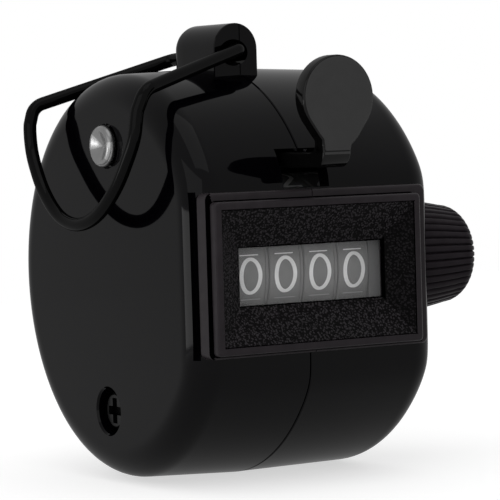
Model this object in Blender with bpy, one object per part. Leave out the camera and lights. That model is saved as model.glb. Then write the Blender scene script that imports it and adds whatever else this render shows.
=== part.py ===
"""Four-digit hand tally counter, built from its separate pieces.

X runs along the wheel axis, from left to right as the digits are read.  The window faces -Y and
+Z is up.  Sizes are millimetres here and become metres when a mesh is made.
"""
import math

import bmesh
import bpy
from mathutils import Matrix, Vector

MM = 0.001

# Case: two halves that meet at the seam, round with a flat front
drum_radius = 21.0
drum_half_depth = 19.8
flat_front = 17.3
drum_width = 28.8
left_face_x = -14.1
seam_x = -1.05
left_draft = 0.45
right_draft = 0.25
right_end_drop = 0.19
edge_radius = 3.0
inner_edge_radius = 1.2
wall = 1.6
seam_gap = 0.1
tongue_length = 1.2
tongue_depth = 0.8
tongue_clearance = 0.15
drum_arc_steps = 56
flat_steps = 4
edge_steps = 4

# Boss on the flat front that holds the window
boss_half = (12.95, 8.05)
boss_centre = (-0.35, 0.55)
boss_height = 0.95
boss_corner = 0.7
boss_edge = 0.3
left_boss_root = 1.3
right_boss_root = 0.4

# Window frame, a funnel from its rim to the window
bezel_centre = (-0.8, 0.3)
bezel_half = (12.15, 7.45)
bezel_height = 0.9
bezel_bevel = 0.2
bezel_corner = 0.35
funnel_half = (11.3, 6.85)
funnel_depth = 1.95
window_half = (8.4, 2.83)
window_drop = 0.15
spigot_margin = 0.8
spigot_depth = 1.2
lens_thickness = 0.5
seat_gap = 0.1
view_margin = 0.1

# Lug on the top of the case and its hole
lug_centre_x = -1.55
lug_half_width = 2.6
lug_front_y = -5.7
lug_back_y = 2.75
lug_top_z = 25.4
lug_hole_centre = (-1.8, 22.4)
lug_hole_half = (1.55, 1.2)
lug_sink = 0.35
lug_round_back = 1.4

# Finger ring, bent from round wire, leaning a little in its hole
ring_wire_radius = 0.7
ring_hinge = (-1.5, 0.25, 22.4)
ring_hinge_half = 6.85
ring_lean = math.radians(-3.0)
ring_fold = (-15.75, 11.55, 18.15)
ring_side_points = ((-16.5, 11.2, 16.25), (-16.75, 10.65, 13.55), (-17.0, 9.25, 11.15),
                    (-17.2, 7.5, 9.0), (-17.4, 5.05, 7.0), (-17.5, 2.65, 5.9))
ring_bottom = (-17.55, 0.0, 5.5)
ring_corner_radius = 1.1
ring_fold_radius = 1.8

# Number wheels
wheel_axis = (-6.0, 0.7)
wheel_radius = 9.35
wheel_pitch = 4.1
wheel_row_centre = -0.45
rim_width = 3.6
rim_inner_radius = 7.8
web_half = 0.5
hub_radius = 2.4
gear_teeth = 20
gear_root_radius = 7.65
gear_tip_radius = 6.9
shaft_radius = 1.5
shaft_groove_depth = 0.4
running_gap = 0.12

# Ratchet on the units wheel
ratchet_teeth = 10
ratchet_tip_radius = 4.4
ratchet_root_radius = 3.5
ratchet_thickness = 0.6
ratchet_seat_radius = 2.1

# Carry pinions, each held by its waist in a carrier plate between two wheels
pinion_teeth = 6
pinion_distance = 5.1
pinion_direction = math.radians(-38)
pinion_tip_radius = 2.5
pinion_root_radius = 1.6
pinion_waist_radius = 1.2
pinion_waist_half = 0.3
pinion_side_gap = 0.15
carrier_thickness = 0.3
carrier_radius = 9.2
carrier_foot_radius = 2.2

# Side plates and the bars between them
plate_thickness = 0.8
left_plate_x = -9.7
right_plate_x = 9.5
bar_radius = 1.2
bar_end_radius = 0.8
pin_gap = 0.1
post_gap = 0.1
front_bar = (-14.0, -8.3)
rear_bar = (6.2, -0.8)
plate_outline = ((-10.2, 14.6), (-7.0, 15.9), (2.2, 15.9), (3.4, 13.6), (3.6, 6.0), (8.0, 1.4),
                 (8.0, -2.6), (4.8, -9.4), (-6.0, -10.4), (-14.6, -10.2), (-15.2, -8.6),
                 (-14.9, -6.9), (-15.1, -3.6), (-15.1, 4.4), (-12.0, 6.0), (-10.9, 8.0))
tab_x0 = 7.7
tab_front_y = -15.0
tab_thickness = 0.6
tab_half_height = 3.5

# Thumb lever
lever_pivot = (-8.0, 13.3)
lever_width = 3.2
lever_hub_radius = 2.0
lever_pin_radius = 1.0
lever_arm = ((-8.0, 14.1), (-13.2, 12.3), (-17.3, 12.2))
lever_underside = ((-17.3, 10.7), (-13.6, 10.9), (-8.0, 12.4))
lever_top_z = 12.2
lever_bottom_z = 10.7
lever_inner_bend = 0.9
lever_outer_bend = 1.5
paddle_front_y = -22.9
paddle_thickness = 1.7
paddle_centre = (0.35, 17.5)
paddle_radius = 4.1
paddle_neck_half = 1.6
paddle_neck_top_z = 13.3
slot_half_width = 2.7
slot_bottom_z = 8.75
slot_top_z = 12.6
slot_back_y = -12.6
tail_x = 8.4
tail_thickness = 0.7
tail_half_width = 1.0
tail_path = ((-8.0, 13.3), (-4.7, 9.9), (0.5, 7.5), (6.5, 8.0))

# Lever spring
spring_wire_radius = 0.3
spring_coil_radius = 2.65
spring_turns = 5
spring_start_x = 1.4
spring_pitch = 1.05

# Pawls and their leaf springs; a reach is measured from the wheels' axis
pawl_x = 7.6
pawl_thickness = 0.6
pawl_eye_radius = 1.1
pawl_pin_radius = 0.6
drive_pawl_reach = ((7.4, 0.5), (6.3, -1.6), (5.1, -1.55))
drive_pawl_widths = (1.1, 0.6, 0.55, 0.4)
stop_pawl_reach = ((-6.4, -5.4), (-3.6, -5.6), (-1.3, -5.3))
stop_pawl_widths = (1.1, 0.6, 0.35)
leaf_half_thickness = 0.12
drive_leaf_root = ((7.95, 8.6), (7.9, 7.3))
drive_leaf_reach = (9.3, 1.35)
stop_leaf_reach = ((-6.4, -8.5), (-5.0, -7.8), (-2.4, -6.85))

# Rivet at the top and screw at the bottom of the case
rivet_place = (-0.6, 13.3)
rivet_radius = 1.2
rivet_head_radius = 2.15
rivet_head_height = 0.85
rivet_hole_gap = 0.15
spacer_radius = 2.2
screw_place = (0.65, -13.7)
screw_radius = 1.15
screw_head_radius = 1.95
screw_head_height = 1.1
screw_recess_radius = 2.38
screw_recess_depth = 2.1
screw_post_end_x = -2.0
screw_end_x = 7.5
screw_slot_width = 0.5
screw_slot_length = 2.4
screw_slot_depth = 0.8
post_radius = 2.6
recess_post_radius = 3.5
shaft_boss_radius = 3.4
clip_radius = 2.4
clip_thickness = 0.6

# Reset knob
collar_radius = 6.2
collar_height = 1.3
washer_radius = 4.0
washer_thickness = 0.3
knob_radius = 6.0
knob_end_radius = 5.15
knob_tip_x = 25.0
knob_ribs = 44
knob_rib_depth = 0.25
knob_round = 1.6

round_segments = 24

right_face_x = left_face_x + drum_width
left_seam_x = seam_x - seam_gap / 2
right_seam_x = seam_x + seam_gap / 2
boss_front_y = -(flat_front + boss_height)
bezel_front_y = boss_front_y - seat_gap - bezel_height
window_y = bezel_front_y + funnel_depth
bezel_back_y = window_y + window_drop
lens_front_y = bezel_back_y + seat_gap
lens_back_y = lens_front_y + lens_thickness
ledge_y = lens_back_y + seat_gap
knob_start_x = right_face_x + collar_height + washer_thickness + 2 * seat_gap
wheel_names = ("thousands", "hundreds", "tens", "units")
pinion_axis = (wheel_axis[0] + pinion_distance * math.cos(pinion_direction),
               wheel_axis[1] + pinion_distance * math.sin(pinion_direction))


def near_axis(*reaches):
    """Points in the (y, z) plane from their distances to the wheels' axis."""
    return tuple((wheel_axis[0] + y, wheel_axis[1] + z) for y, z in reaches)


drive_pawl_path = (tail_path[-1], *near_axis(*drive_pawl_reach))
stop_pawl_path = near_axis(*stop_pawl_reach)
drive_leaf_path = (*drive_leaf_root, *near_axis(drive_leaf_reach))
stop_leaf_path = near_axis(*stop_leaf_reach)


def clear_scene():
    for old in list(bpy.data.objects):
        bpy.data.objects.remove(old, do_unlink=True)


def make_material(name, color, roughness, metallic=0.0, alpha=1.0):
    material = bpy.data.materials.new(name)
    material.use_nodes = True
    shader = material.node_tree.nodes["Principled BSDF"]
    shader.inputs["Base Color"].default_value = (*color, 1.0)
    shader.inputs["Roughness"].default_value = roughness
    shader.inputs["Metallic"].default_value = metallic
    shader.inputs["Alpha"].default_value = alpha
    return material


BLACK_GLOSS = ((0.012, 0.012, 0.014), 0.14, 0.0)
BLACK_GRAIN = ((0.015, 0.015, 0.017), 0.45, 0.0)
BLACK_WIRE = ((0.015, 0.015, 0.016), 0.25, 0.6)
STEEL = ((0.55, 0.55, 0.56), 0.3, 1.0)
CHROME = ((0.75, 0.75, 0.77), 0.12, 1.0)
BRASS = ((0.65, 0.48, 0.2), 0.3, 1.0)
SPRING = ((0.4, 0.4, 0.42), 0.28, 1.0)
WHEEL_GREY = ((0.13, 0.13, 0.13), 0.5, 0.0)
NYLON = ((0.75, 0.73, 0.68), 0.45, 0.0)


def make_object(name, shape, look, origin=(0.0, 0.0, 0.0)):
    """A named object from points and faces, with its own origin and material."""
    points, faces = shape
    base = Vector(origin)
    mesh = bpy.data.meshes.new(name)
    mesh.from_pydata([tuple((Vector(p) - base) * MM) for p in points], [], faces)
    work = bmesh.new()
    work.from_mesh(mesh)
    bmesh.ops.recalc_face_normals(work, faces=work.faces)
    work.to_mesh(mesh)
    work.free()
    mesh.shade_smooth()
    mesh.set_sharp_from_angle(angle=math.radians(32))
    piece = bpy.data.objects.new(name, mesh)
    piece.location = base * MM
    bpy.context.scene.collection.objects.link(piece)
    if look is not None:
        color, roughness, metallic, *alpha = look
        mesh.materials.append(make_material(name, color, roughness, metallic, *alpha))
    return piece


def combine(piece, shape, operation="DIFFERENCE"):
    """Cuts a shape away from a piece, or joins it on with UNION."""
    tool = make_object(f"{piece.name}_tool", shape, None)
    apply_tool(piece, tool, operation)
    return tool


def apply_tool(piece, tool, operation="DIFFERENCE"):
    tool.hide_render = True
    tool.display_type = "WIRE"
    modifier = piece.modifiers.new(tool.name, "BOOLEAN")
    modifier.operation = operation
    modifier.solver = "EXACT"
    modifier.object = tool


def loft(rings, closed=False):
    """Faces between rings of equal point counts, capped at the ends or closed into a loop."""
    count = len(rings[0])
    points = [p for ring in rings for p in ring]
    faces = []
    for i in range(len(rings) if closed else len(rings) - 1):
        a = i * count
        b = (i + 1) % len(rings) * count
        for j in range(count):
            k = (j + 1) % count
            faces.append((a + j, a + k, b + k, b + j))
    if not closed:
        faces.append(tuple(range(count - 1, -1, -1)))
        faces.append(tuple(range(len(points) - count, len(points))))
    return points, faces


def circle(x, radius, centre, count=round_segments, phase=0.0):
    steps = [2 * math.pi * i / count + phase for i in range(count)]
    return [(x, centre[0] + radius * math.cos(t), centre[1] + radius * math.sin(t)) for t in steps]


def turned(profile, centre, closed=False, count=round_segments):
    """A solid turned about X at a (y, z) centre from (x, radius) pairs."""
    return loft([circle(x, radius, centre, count) for x, radius in profile], closed)


def rod(x0, x1, radius, centre, count=round_segments):
    return turned(((x0, radius), (x1, radius)), centre, False, count)


def tube(x0, x1, inner, outer, centre, count=round_segments):
    return turned(((x0, inner), (x0, outer), (x1, outer), (x1, inner)), centre, True, count)


def slab(outline, x0, x1):
    """A (y, z) outline extruded along X."""
    return loft([[(x, y, z) for y, z in outline] for x in (x0, x1)])


def box(low, high):
    outline = ((low[1], low[2]), (high[1], low[2]), (high[1], high[2]), (low[1], high[2]))
    return slab(outline, low[0], high[0])


def toothed_ring(x, teeth, tip, root, centre, count, phase=0.0, lean=0.5):
    """One point at each tip and at each root; lean 0.5 gives even teeth, less gives saw teeth."""
    ring = []
    per_tooth = count // teeth
    for i in range(count):
        tooth, step = divmod(i, per_tooth)
        is_tip = step == 0
        shift = 0.0 if is_tip else lean
        angle = 2 * math.pi * (tooth + shift) / teeth + phase
        radius = tip if is_tip else root
        ring.append((x, centre[0] + radius * math.cos(angle), centre[1] + radius * math.sin(angle)))
    return ring


def rectangle_ring(centre, half, y, corner, steps=3):
    """A rounded rectangle that faces -Y, as a ring of points at depth y."""
    ring = []
    for sx, sz, start in ((1, 1, 0), (-1, 1, 90), (-1, -1, 180), (1, -1, 270)):
        for i in range(steps + 1):
            angle = math.radians(start + 90 * i / steps)
            x = centre[0] + sx * (half[0] - corner) + corner * math.cos(angle)
            z = centre[1] + sz * (half[1] - corner) + corner * math.sin(angle)
            ring.append((x, y, z))
    return ring


def bar_outline(path, half_widths, end_steps=5):
    """A bar along a (y, z) path, with a half width at each point and round ends."""
    points = [Vector(p) for p in path]
    sides = ([], [])
    for i, point in enumerate(points):
        before = (point - points[i - 1]).normalized() if i else (points[1] - point).normalized()
        after = (points[i + 1] - point).normalized() if i < len(points) - 1 else before
        along = (before + after).normalized()
        across = Vector((-along.y, along.x)) * half_widths[i] / max(along.dot(after), 0.5)
        sides[0].append(point + across)
        sides[1].append(point - across)

    def round_end(centre, start):
        arm = start - centre
        turns = [-math.pi * i / end_steps for i in range(1, end_steps)]
        return [centre + Vector((arm.x * math.cos(t) - arm.y * math.sin(t),
                                 arm.x * math.sin(t) + arm.y * math.cos(t))) for t in turns]

    outline = sides[0] + round_end(points[-1], sides[0][-1])
    outline += sides[1][::-1] + round_end(points[0], sides[1][0])
    return [(p.x, p.y) for p in outline]


def drum_outline(x, inset, flat_inset):
    """The case's side profile, drawn in by inset, with its flat front drawn in by flat_inset.

    Its centre sinks from the seam to the right end, whose underside has almost no draft.
    """
    depth = drum_half_depth - inset
    height = drum_radius - inset
    flat = flat_front - flat_inset
    sink = right_end_drop * max(0.0, (x - right_seam_x) / (right_face_x - right_seam_x))
    start = math.acos(flat / depth)
    ring = []
    for i in range(drum_arc_steps + 1):
        t = start + (2 * math.pi - 2 * start) * i / drum_arc_steps
        ring.append((x, -depth * math.cos(t), height * math.sin(t) - sink))
    top = ring[0][2]
    low = ring[-1][2]
    for i in range(1, flat_steps):
        ring.append((x, -flat, low + (top - low) * i / flat_steps))
    return ring


def edge_rings(face_x, side, radius, inset, flat_inset, outward):
    """Rings round the edge between the end face and the drum wall."""
    rings = []
    for i in range(edge_steps + 1):
        angle = math.pi / 2 * i / edge_steps
        x = face_x - side * radius * (1 - math.cos(angle))
        drawn_in = radius * (1 - math.sin(angle))
        rings.append(drum_outline(x, inset + drawn_in, flat_inset + drawn_in))
    return rings if outward else rings[::-1]


def shell_shape(face_x, side, draft, seam, lip):
    """One half of the case: outer skin, seam, then the inner skin; lip gives the seam's steps."""
    rings = edge_rings(face_x, side, edge_radius, draft, 0.0, True)
    rings.append(drum_outline(seam, 0.0, 0.0))
    for x, inset in lip:
        rings.append(drum_outline(x, inset, inset))
    inner_x = face_x - side * wall
    rings += edge_rings(inner_x, side, inner_edge_radius, draft + wall, wall, False)
    return loft(rings)


def clip_to_side(ring, side):
    """Keeps a ring on one side of the seam."""
    if side < 0:
        return [(min(x, left_seam_x), y, z) for x, y, z in ring]
    return [(max(x, right_seam_x), y, z) for x, y, z in ring]


def boss_shape(side):
    """Half of the boss; the left half starts deeper, where it runs out over the round edge."""
    root_y = -(flat_front - (left_boss_root if side < 0 else right_boss_root))
    rings = []
    for y, inset in ((root_y, 0.0), (boss_front_y + boss_edge, 0.0),
                     (boss_front_y + 0.3 * boss_edge, 0.3 * boss_edge), (boss_front_y, boss_edge)):
        half = (boss_half[0] - inset, boss_half[1] - inset)
        rings.append(clip_to_side(rectangle_ring(boss_centre, half, y, boss_corner), side))
    return loft(rings)


def lug_shape(side, steps=12):
    """An arched lug that stands on the drum and is rounded off at the back."""
    rings = []
    straight_end_y = lug_back_y - lug_round_back
    layout = [(lug_front_y + (straight_end_y - lug_front_y) * i / 4, 0.0) for i in range(5)]
    layout.append((lug_back_y - 0.35 * lug_round_back, 0.3 * lug_round_back))
    layout.append((lug_back_y, lug_round_back))
    for y, inset in layout:
        foot_z = drum_radius * math.sqrt(1 - (y / drum_half_depth) ** 2) - lug_sink
        half = lug_half_width - inset
        centre_z = lug_top_z - lug_half_width
        ring = [(lug_centre_x + half, y, foot_z)]
        for i in range(steps + 1):
            angle = math.pi * i / steps
            ring.append((lug_centre_x + half * math.cos(angle), y, centre_z + half * math.sin(angle)))
        ring.append((lug_centre_x - half, y, foot_z))
        rings.append(clip_to_side(ring, side))
    return loft(rings)


def oval_along_y(centre, half, y0, y1, count=20):
    rings = []
    for y in (y0, y1):
        ring = []
        for i in range(count):
            angle = 2 * math.pi * i / count
            ring.append((centre[0] + half[0] * math.cos(angle), y, centre[1] + half[1] * math.sin(angle)))
        rings.append(ring)
    return loft(rings)


def case_openings(piece):
    """Cuts that go through both halves: window seat, lever slot, lug hole and rivet hole."""
    spigot = spigot_half(seat_gap)
    combine(piece, loft([rectangle_ring(bezel_centre, spigot, y, bezel_corner)
                         for y in (ledge_y, boss_front_y - 5.0)]))
    view = (window_half[0] + view_margin, window_half[1] + view_margin)
    combine(piece, loft([rectangle_ring(bezel_centre, view, y, bezel_corner)
                         for y in (ledge_y + 5.0, ledge_y - 5.0)]))
    combine(piece, box((seam_x - slot_half_width, boss_front_y - 5.0, slot_bottom_z),
                       (seam_x + slot_half_width, slot_back_y, slot_top_z)))
    combine(piece, oval_along_y(lug_hole_centre, lug_hole_half, lug_front_y - 2.0, lug_back_y + 2.0))
    combine(piece, rod(left_face_x - 5.0, right_face_x + 5.0, rivet_radius + rivet_hole_gap,
                       rivet_place))


def spigot_half(extra=0.0):
    """Half sizes of the window frame's spigot, and of its seat in the boss with extra room."""
    depth = bezel_height / funnel_depth
    return tuple(f + (w - f) * depth + spigot_margin + extra
                 for f, w in zip(funnel_half, window_half))


def build_left_shell():
    lip = ((left_seam_x, tongue_depth), (seam_x + tongue_length, tongue_depth),
           (seam_x + tongue_length, wall))
    piece = make_object("left_shell", shell_shape(left_face_x, -1, left_draft, left_seam_x, lip),
                        BLACK_GLOSS)
    combine(piece, boss_shape(-1), "UNION")
    combine(piece, lug_shape(-1), "UNION")
    root_x = left_face_x + wall / 2
    plate_side = left_plate_x - post_gap
    combine(piece, rod(root_x, plate_side, post_radius, rivet_place), "UNION")
    combine(piece, rod(root_x, plate_side, shaft_boss_radius, wheel_axis), "UNION")
    step_x = left_face_x + screw_recess_depth + wall
    combine(piece, turned(((root_x, recess_post_radius), (step_x, recess_post_radius),
                           (step_x, post_radius), (screw_post_end_x, post_radius)), screw_place),
            "UNION")
    case_openings(piece)
    floor_x = left_face_x + screw_recess_depth
    hole_radius = screw_radius + rivet_hole_gap
    combine(piece, turned(((left_face_x - 1.0, screw_recess_radius), (floor_x, screw_recess_radius),
                           (floor_x, hole_radius), (screw_post_end_x + 1.0, hole_radius)),
                          screw_place))
    bore_radius = shaft_radius + running_gap
    clip_seat_x = plate_side - clip_thickness - 2 * post_gap
    clip_seat_radius = clip_radius + 2 * post_gap
    combine(piece, turned(((left_face_x + wall, bore_radius), (clip_seat_x, bore_radius),
                           (clip_seat_x, clip_seat_radius), (plate_side + 1.0, clip_seat_radius)),
                          wheel_axis))
    return piece


def build_right_shell():
    lip = ((right_seam_x, tongue_depth - tongue_clearance),
           (seam_x + tongue_length + tongue_clearance, tongue_depth - tongue_clearance),
           (seam_x + tongue_length + tongue_clearance, wall))
    piece = make_object("right_shell",
                        shell_shape(right_face_x, 1, right_draft, right_seam_x, lip),
                        BLACK_GLOSS)
    combine(piece, boss_shape(1), "UNION")
    combine(piece, lug_shape(1), "UNION")
    root_x = right_face_x - wall / 2
    plate_side = right_plate_x + plate_thickness + post_gap
    combine(piece, rod(root_x, plate_side, post_radius, rivet_place), "UNION")
    combine(piece, rod(root_x, screw_post_end_x + seam_gap, post_radius, screw_place), "UNION")
    combine(piece, turned(((plate_side, shaft_boss_radius), (root_x, shaft_boss_radius),
                           (root_x, collar_radius), (right_face_x + collar_height, collar_radius)),
                          wheel_axis, count=32), "UNION")
    case_openings(piece)
    combine(piece, rod(screw_post_end_x - 1.0, screw_end_x + 0.5, screw_radius + rivet_hole_gap,
                       screw_place))
    combine(piece, rod(plate_side - 1.0, right_face_x + 5.0, shaft_radius + running_gap, wheel_axis))
    return piece


def build_window():
    spigot = spigot_half()
    inset = (bezel_half[0] - bezel_bevel, bezel_half[1] - bezel_bevel)
    flange_back_y = boss_front_y - seat_gap
    layout = ((spigot, bezel_back_y), (spigot, flange_back_y), (bezel_half, flange_back_y),
              (bezel_half, bezel_front_y + bezel_bevel), (inset, bezel_front_y),
              (funnel_half, bezel_front_y), (window_half, window_y), (window_half, bezel_back_y))
    rings = [rectangle_ring(bezel_centre, half, y, bezel_corner) for half, y in layout]
    make_object("window_bezel", loft(rings, closed=True), BLACK_GRAIN)
    rings = [rectangle_ring(bezel_centre, spigot, y, bezel_corner) for y in (lens_front_y, lens_back_y)]
    make_object("window_lens", loft(rings), ((0.9, 0.9, 0.9), 0.1, 0.0, 0.25))


def fillet(corner, before, after, radius, steps):
    """Points of a round corner between two straight runs."""
    corner = Vector(corner)
    into = (Vector(before) - corner).normalized()
    out = (Vector(after) - corner).normalized()
    half_angle = math.acos(max(-1.0, min(1.0, into.dot(out)))) / 2
    reach = radius / math.tan(half_angle)
    centre = corner + (into + out).normalized() * radius / math.sin(half_angle)
    start = corner + into * reach - centre
    end = corner + out * reach - centre
    total = start.angle(end)
    return [centre + (start * math.sin(total * (1 - i / steps))
                      + end * math.sin(total * i / steps)) / math.sin(total)
            for i in range(steps + 1)]


def smooth_through(points, steps):
    """A smooth curve through the middle points; the first and last only give directions."""
    result = []
    for p0, p1, p2, p3 in zip(points, points[1:], points[2:], points[3:]):
        for i in range(steps):
            t = i / steps
            result.append(0.5 * (2 * p1 + (p2 - p0) * t + (2 * p0 - 5 * p1 + 4 * p2 - p3) * t ** 2
                                 + (3 * p1 - p0 - 3 * p2 + p3) * t ** 3))
    return result


def finger_ring_path():
    """Centre line of the wire: hinge leg, strand over the case, fold and hanging loop."""
    pivot = Vector(ring_hinge)
    hinge = Vector((pivot.x, 0.0, pivot.z))
    corner = hinge + Vector((0.0, ring_hinge_half, 0.0))
    fold = Vector(ring_fold)
    sides = [Vector(p) for p in ring_side_points]
    bottom = Vector(ring_bottom)
    mirror = Vector((sides[-1].x, -sides[-1].y, sides[-1].z))
    half = fillet(corner, hinge, fold, ring_corner_radius, 5)
    half += fillet(fold, corner, sides[0], ring_fold_radius, 5)
    half += smooth_through([fold, *sides, bottom, mirror], 2)
    other = [Vector((p.x, -p.y, p.z)) for p in half[::-1]]
    lean = Matrix.Rotation(ring_lean, 3, "X")
    return [pivot + lean @ (p - hinge) for p in [*half, bottom, *other]]


def wire(name, path, radius, look, cyclic, origin, sides=2):
    """A round wire along a path, as a curve with a bevel."""
    base = Vector(origin)
    curve = bpy.data.curves.new(name, "CURVE")
    curve.dimensions = "3D"
    curve.bevel_depth = radius * MM
    curve.bevel_resolution = sides
    curve.use_fill_caps = not cyclic
    spline = curve.splines.new("POLY")
    spline.points.add(len(path) - 1)
    for target, place in zip(spline.points, path):
        target.co = (*((Vector(place) - base) * MM), 1.0)
    spline.use_cyclic_u = cyclic
    spline.use_smooth = True
    piece = bpy.data.objects.new(name, curve)
    piece.location = base * MM
    color, roughness, metallic = look
    curve.materials.append(make_material(name, color, roughness, metallic))
    bpy.context.scene.collection.objects.link(piece)
    return piece


def build_finger_ring():
    wire("finger_ring", finger_ring_path(), ring_wire_radius, BLACK_WIRE, True, ring_hinge)


def wheel_shape(centre_x, is_units):
    """A number wheel: hub, web and rim, with the carry gear inside the rim's right half."""
    count = 2 * gear_teeth
    half = rim_width / 2
    bore = shaft_radius + running_gap
    left_side = ((-half, bore), (-half, hub_radius), (-web_half, hub_radius),
                 (-web_half, rim_inner_radius), (-half, rim_inner_radius), (-half, wheel_radius),
                 (half, wheel_radius))
    if is_units:
        seat_end = half + seat_gap + ratchet_thickness
        right_side = ((half, rim_inner_radius), (web_half, rim_inner_radius), (web_half, hub_radius),
                      (half, hub_radius), (half, ratchet_seat_radius),
                      (seat_end, ratchet_seat_radius), (seat_end, bore))
        gear = []
    else:
        right_side = ((web_half, hub_radius), (half, hub_radius), (half, bore))
        gear = [toothed_ring(centre_x + x, gear_teeth, gear_root_radius, gear_tip_radius,
                             wheel_axis, count, pinion_direction) for x in (half, web_half)]
    sides = [[circle(centre_x + x, radius, wheel_axis, count, pinion_direction)
              for x, radius in side] for side in (left_side, right_side)]
    return loft(sides[0] + gear + sides[1], closed=True)


def build_wheels():
    for index, name in enumerate(wheel_names):
        centre_x = wheel_row_centre + wheel_pitch * (index - 1.5)
        origin = (centre_x, *wheel_axis)
        is_units = name == "units"
        make_object(f"{name}_wheel", wheel_shape(centre_x, is_units), WHEEL_GREY, origin)
        if is_units:
            build_ratchet(centre_x + rim_width / 2 + seat_gap, origin)
        else:
            build_pinion(name, centre_x)
            build_carrier(name, centre_x + wheel_pitch / 2)


def build_ratchet(x0, origin):
    count = 2 * ratchet_teeth
    x1 = x0 + ratchet_thickness
    bore = ratchet_seat_radius + seat_gap
    rings = [circle(x0, bore, wheel_axis, count)]
    rings += [toothed_ring(x, ratchet_teeth, ratchet_tip_radius, ratchet_root_radius, wheel_axis,
                           count, lean=0.8) for x in (x0, x1)]
    rings.append(circle(x1, bore, wheel_axis, count))
    make_object("ratchet_wheel", loft(rings, closed=True), STEEL, origin)


def build_pinion(name, wheel_x):
    """A carry pinion: its left teeth mesh inside one wheel and its right teeth reach into the next."""
    count = 2 * pinion_teeth
    middle_x = wheel_x + wheel_pitch / 2
    left_x = wheel_x + web_half + pinion_side_gap
    right_x = 2 * middle_x - left_x
    rings = []
    for x, is_toothed in ((left_x, True), (middle_x - pinion_waist_half, True),
                          (middle_x - pinion_waist_half, False), (middle_x + pinion_waist_half, False),
                          (middle_x + pinion_waist_half, True), (right_x, True)):
        if is_toothed:
            rings.append(toothed_ring(x, pinion_teeth, pinion_tip_radius, pinion_root_radius,
                                      pinion_axis, count, pinion_direction))
        else:
            rings.append(circle(x, pinion_waist_radius, pinion_axis, count, pinion_direction))
    make_object(f"{name}_pinion", loft(rings), NYLON, (middle_x, *pinion_axis))


def linked_circles(big, big_radius, small, small_radius, steps=20):
    """An outline round two circles and the two straight lines that touch both."""
    heading = math.atan2(small[1] - big[1], small[0] - big[0])
    lean = math.acos((big_radius - small_radius) / math.dist(big, small))
    outline = []
    for (y, z), radius, start, span in ((big, big_radius, heading + lean, 2 * math.pi - 2 * lean),
                                        (small, small_radius, heading - lean, 2 * lean)):
        for i in range(steps + 1):
            angle = start + span * i / steps
            outline.append((y + radius * math.cos(angle), z + radius * math.sin(angle)))
    return outline


def build_carrier(name, middle_x):
    """The thin plate between two wheels, on the shaft and the rear bar, that holds a pinion."""
    x0 = middle_x - carrier_thickness / 2
    x1 = middle_x + carrier_thickness / 2
    outline = linked_circles(wheel_axis, carrier_radius, rear_bar, carrier_foot_radius)
    carrier = make_object(f"{name}_carrier", slab(outline, x0, x1), STEEL)
    for place, radius in ((wheel_axis, shaft_radius + running_gap), (rear_bar, bar_radius + pin_gap),
                          (pinion_axis, pinion_waist_radius + pin_gap)):
        combine(carrier, rod(x0 - 1.0, x1 + 1.0, radius, place, 16))


def build_shaft_and_knob():
    count = round_segments
    origin = (0.0, *wheel_axis)
    x0 = left_face_x + wall + 2 * post_gap
    x1 = knob_tip_x - knob_round - 0.6
    rings = []
    for x in (x0, x1):
        ring = []
        for i in range(count):
            radius = shaft_radius - (shaft_groove_depth if i in (5, 6) else 0.0)
            angle = 2 * math.pi * i / count
            ring.append((x, wheel_axis[0] + radius * math.cos(angle),
                         wheel_axis[1] + radius * math.sin(angle)))
        rings.append(ring)
    make_object("wheel_shaft", loft(rings), STEEL, origin)
    build_clip(left_plate_x - 2 * post_gap - clip_thickness, origin)
    washer_x = right_face_x + collar_height + seat_gap
    make_object("knob_washer", tube(washer_x, washer_x + washer_thickness,
                                    shaft_radius + running_gap, washer_radius, wheel_axis), NYLON)
    build_knob(x1 + 2 * post_gap, origin)


def build_clip(x0, origin, opening=math.radians(70), steps=14):
    inner = shaft_radius + running_gap
    outline = []
    for radius, order in ((inner, range(steps + 1)), (clip_radius, range(steps, -1, -1))):
        for i in order:
            angle = opening / 2 + (2 * math.pi - opening) * i / steps
            outline.append((wheel_axis[0] + radius * math.cos(angle),
                            wheel_axis[1] + radius * math.sin(angle)))
    make_object("shaft_clip", slab(outline, x0, x0 + clip_thickness), SPRING, origin)


def build_knob(bore_end_x, origin):
    count = 2 * knob_ribs
    ribs_end_x = knob_tip_x - knob_round
    rings = []
    for x, radius in ((knob_start_x, knob_radius), (ribs_end_x, knob_end_radius)):
        rings.append(toothed_ring(x, knob_ribs, radius, radius - knob_rib_depth, wheel_axis, count))
    steps = 4
    for i in range(1, steps + 1):
        angle = math.pi / 2 * i / steps
        radius = knob_end_radius - knob_rib_depth - knob_round * (1 - math.cos(angle))
        rings.append(circle(ribs_end_x + knob_round * math.sin(angle), radius, wheel_axis, count))
    knob = make_object("reset_knob", loft(rings), BLACK_GLOSS, origin)
    combine(knob, rod(knob_start_x - 1.0, bore_end_x, shaft_radius + running_gap, wheel_axis))


def plate_holes(is_right):
    holes = [(wheel_axis, shaft_radius + running_gap), (lever_pivot, lever_pin_radius + pin_gap),
             (rivet_place, rivet_radius + rivet_hole_gap), (front_bar, bar_end_radius + pin_gap),
             (rear_bar, bar_end_radius + pin_gap)]
    if is_right:
        holes.append((stop_pawl_path[0], pawl_pin_radius + pin_gap))
    return holes


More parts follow.
